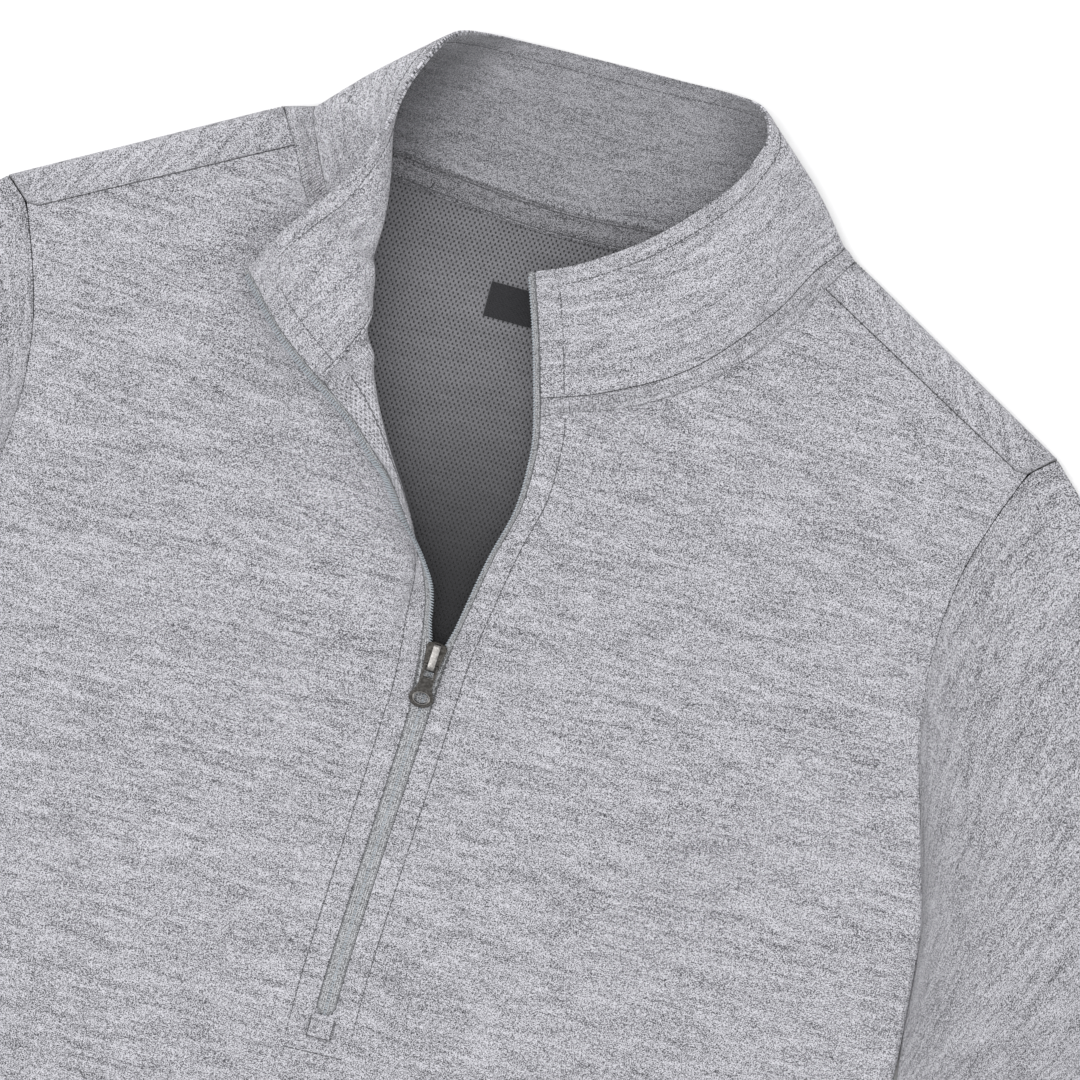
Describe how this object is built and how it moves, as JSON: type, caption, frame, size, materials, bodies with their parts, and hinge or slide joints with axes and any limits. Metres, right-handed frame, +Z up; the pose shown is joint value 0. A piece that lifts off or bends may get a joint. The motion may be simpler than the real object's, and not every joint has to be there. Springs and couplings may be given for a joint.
{
  "type": "quarter zip sweater",
  "caption": "Heather grey quarter zip sweater laid flat, stand collar open with the left front edge turned out like a lapel.",
  "frame": {"origin": "on the surface the garment lies on, under the middle of its outline", "axes": "+X across the garment to the wearer's left, +Y from hem to collar, +Z up off the surface"},
  "size_m": [0.8162, 0.751, 0.0509],
  "materials": {
    "knit": "heather grey double knit, matt",
    "binding": "heather grey rib strip, matt",
    "inner_tape": "heather grey jersey tape, matt",
    "label": "black woven label, blank",
    "zip_tape": "grey woven zip tape, matt",
    "zip_metal": "dark antiqued nickel"
  },
  "bodies": {
    "sweater": {"front": "knit", "back": "knit", "sleeve_left": "knit", "sleeve_right": "knit", "collar": "knit", "collar_facing": "knit", "neck_binding": "binding", "neck_tape": "inner_tape", "label": "label", "zip_tape_left": "zip_tape", "zip_tape_right": "zip_tape", "zip_end_patch": "knit", "slider": "zip_metal"},
    "pull_tab": {"pull_tab": "zip_metal"}
  },
  "joints": [
    {"name": "pull_tab_swing", "type": "hinge", "parent": "sweater", "child": "pull_tab", "pos_m": [-0.00286, 0.10405, 0.01421], "axis": [-0.9991, 0.0429, 0.0021], "range_deg": [0, 140]}
  ]
}
